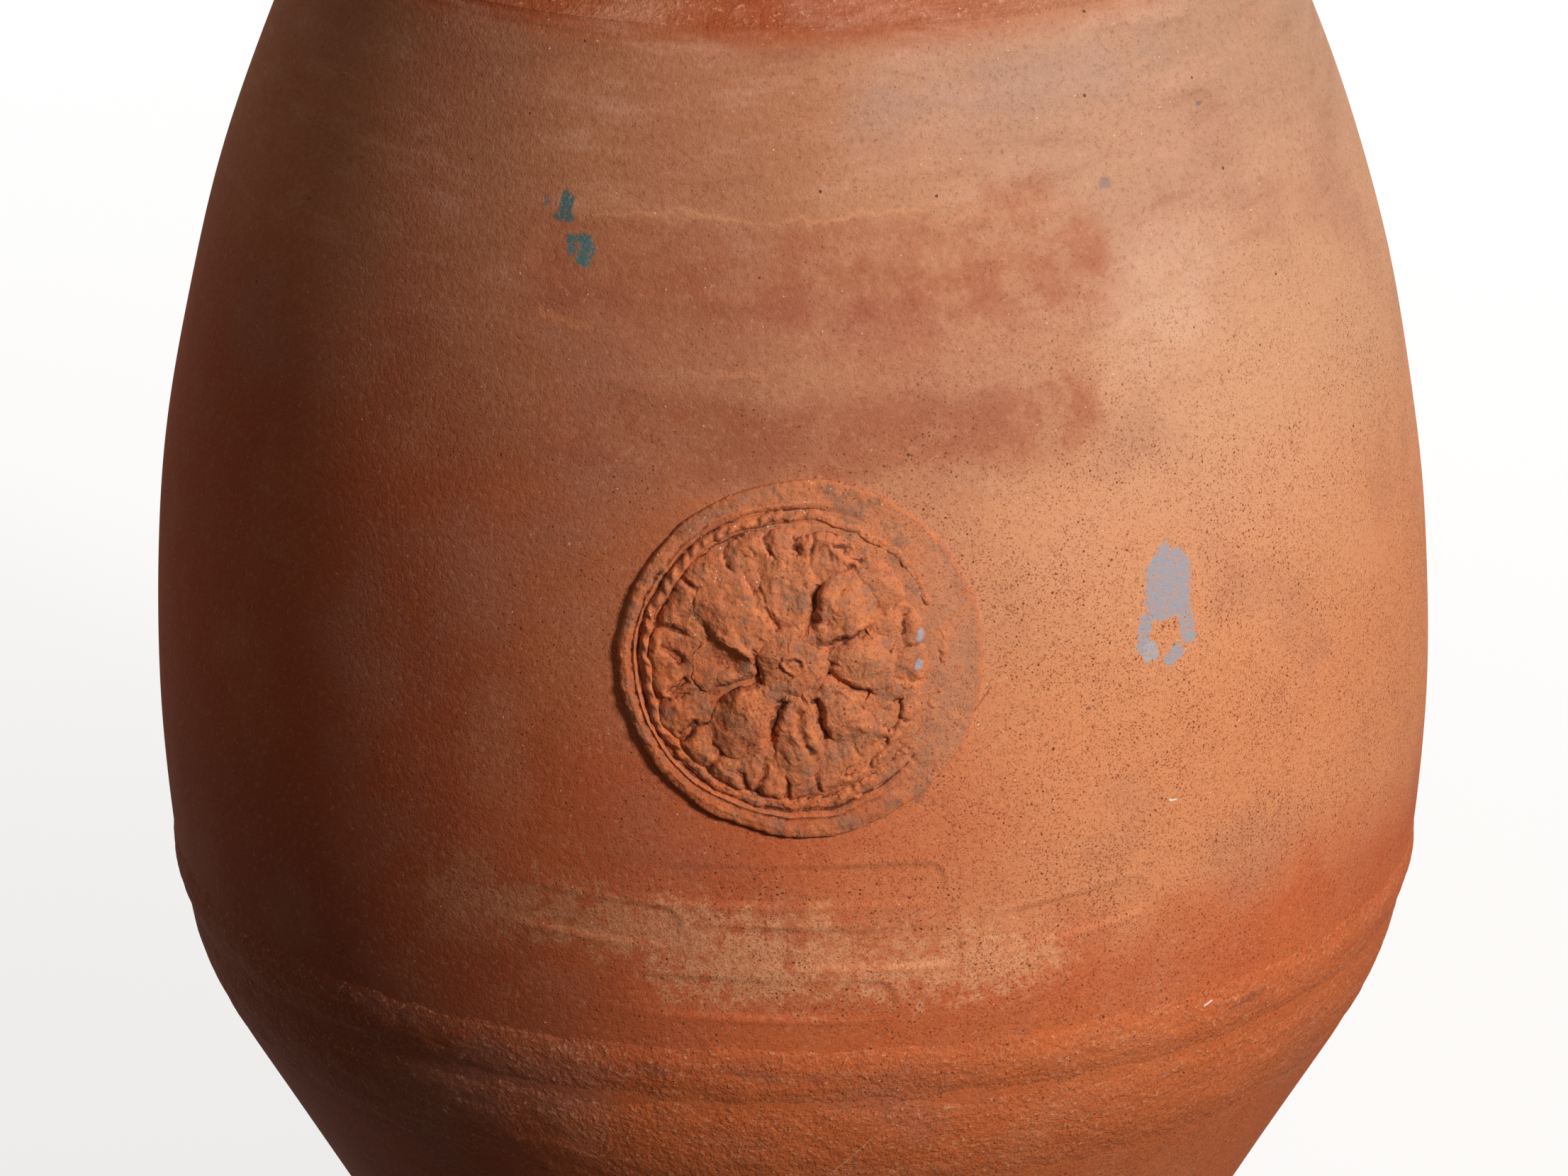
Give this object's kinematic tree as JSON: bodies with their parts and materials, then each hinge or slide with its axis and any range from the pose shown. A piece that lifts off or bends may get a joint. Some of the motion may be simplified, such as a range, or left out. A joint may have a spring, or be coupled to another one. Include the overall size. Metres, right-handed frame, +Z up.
{
  "type": "terracotta storage jar",
  "caption": "Large unglazed terracotta pithos with a rolled rim, raised bands under the belly and an applied rosette medallion, open at the mouth.",
  "frame": {"origin": "middle of the base, on the ground plane", "axes": "+Z up along the jar's axis; the medallion faces -Y; +X to the right of someone facing it"},
  "size_m": [0.5741, 0.5814, 0.805],
  "materials": {
    "terracotta_wall": "matt, smoothed by hand, pitted, with pale lime bloom",
    "terracotta_band": "matt, coarse, brushed round with slip",
    "terracotta_sprig": "matt, crumbly hand-pressed relief"
  },
  "bodies": {
    "root": {"floor_slab": "terracotta_wall", "foot_ring": "terracotta_wall", "wall_course_1": "terracotta_wall", "wall_course_2": "terracotta_wall", "wall_course_3": "terracotta_wall", "wall_course_4": "terracotta_wall", "wall_course_5": "terracotta_wall", "wall_course_6": "terracotta_wall", "wall_course_7": "terracotta_wall", "wall_course_8": "terracotta_wall", "belly_fascia": "terracotta_band", "belly_roll": "terracotta_band", "neck_collar": "terracotta_band", "rim_roll": "terracotta_band", "medallion_disc": "terracotta_sprig", "medallion_cord_ring": "terracotta_sprig", "rosette_leaves": "terracotta_sprig", "rosette_petals": "terracotta_sprig", "rosette_boss": "terracotta_sprig", "rosette_eye": "terracotta_sprig"}
  },
  "joints": []
}
